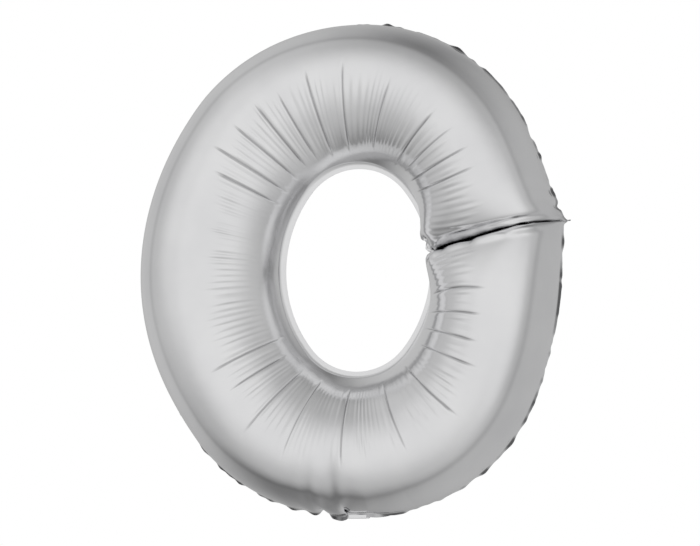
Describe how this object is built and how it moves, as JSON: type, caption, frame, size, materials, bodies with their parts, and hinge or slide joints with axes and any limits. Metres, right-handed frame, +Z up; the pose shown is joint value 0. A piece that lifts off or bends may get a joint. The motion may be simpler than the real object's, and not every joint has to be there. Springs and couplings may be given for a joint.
{
  "type": "foil number balloon",
  "caption": "Silver foil balloon in the shape of the digit zero, with a welded seal margin, a cross weld, a self-sealing valve and a folding fill tail.",
  "frame": {"origin": "neck of the balloon, in the middle of the fold line between the outer seal and the fill tail", "axes": "+X to the viewer's right, +Y to the back, +Z up, with the digit facing -Y"},
  "size_m": [0.7679, 0.1942, 0.8662],
  "materials": {
    "foil": "satin mirror, metallised polyester and nylon film",
    "valve_film": "clear to milky polyethylene film"
  },
  "bodies": {
    "ring": {"front_film": "foil", "back_film": "foil", "valve_front_film": "valve_film", "valve_back_film": "valve_film"},
    "tail": {"tail_front_film": "foil", "tail_back_film": "foil", "tail_valve_front_film": "valve_film", "tail_valve_back_film": "valve_film"}
  },
  "joints": [
    {"name": "tail_fold", "type": "hinge", "parent": "ring", "child": "tail", "pos_m": [0, 0, 0], "axis": [-1, 0, 0], "range_deg": [0, 210]}
  ]
}
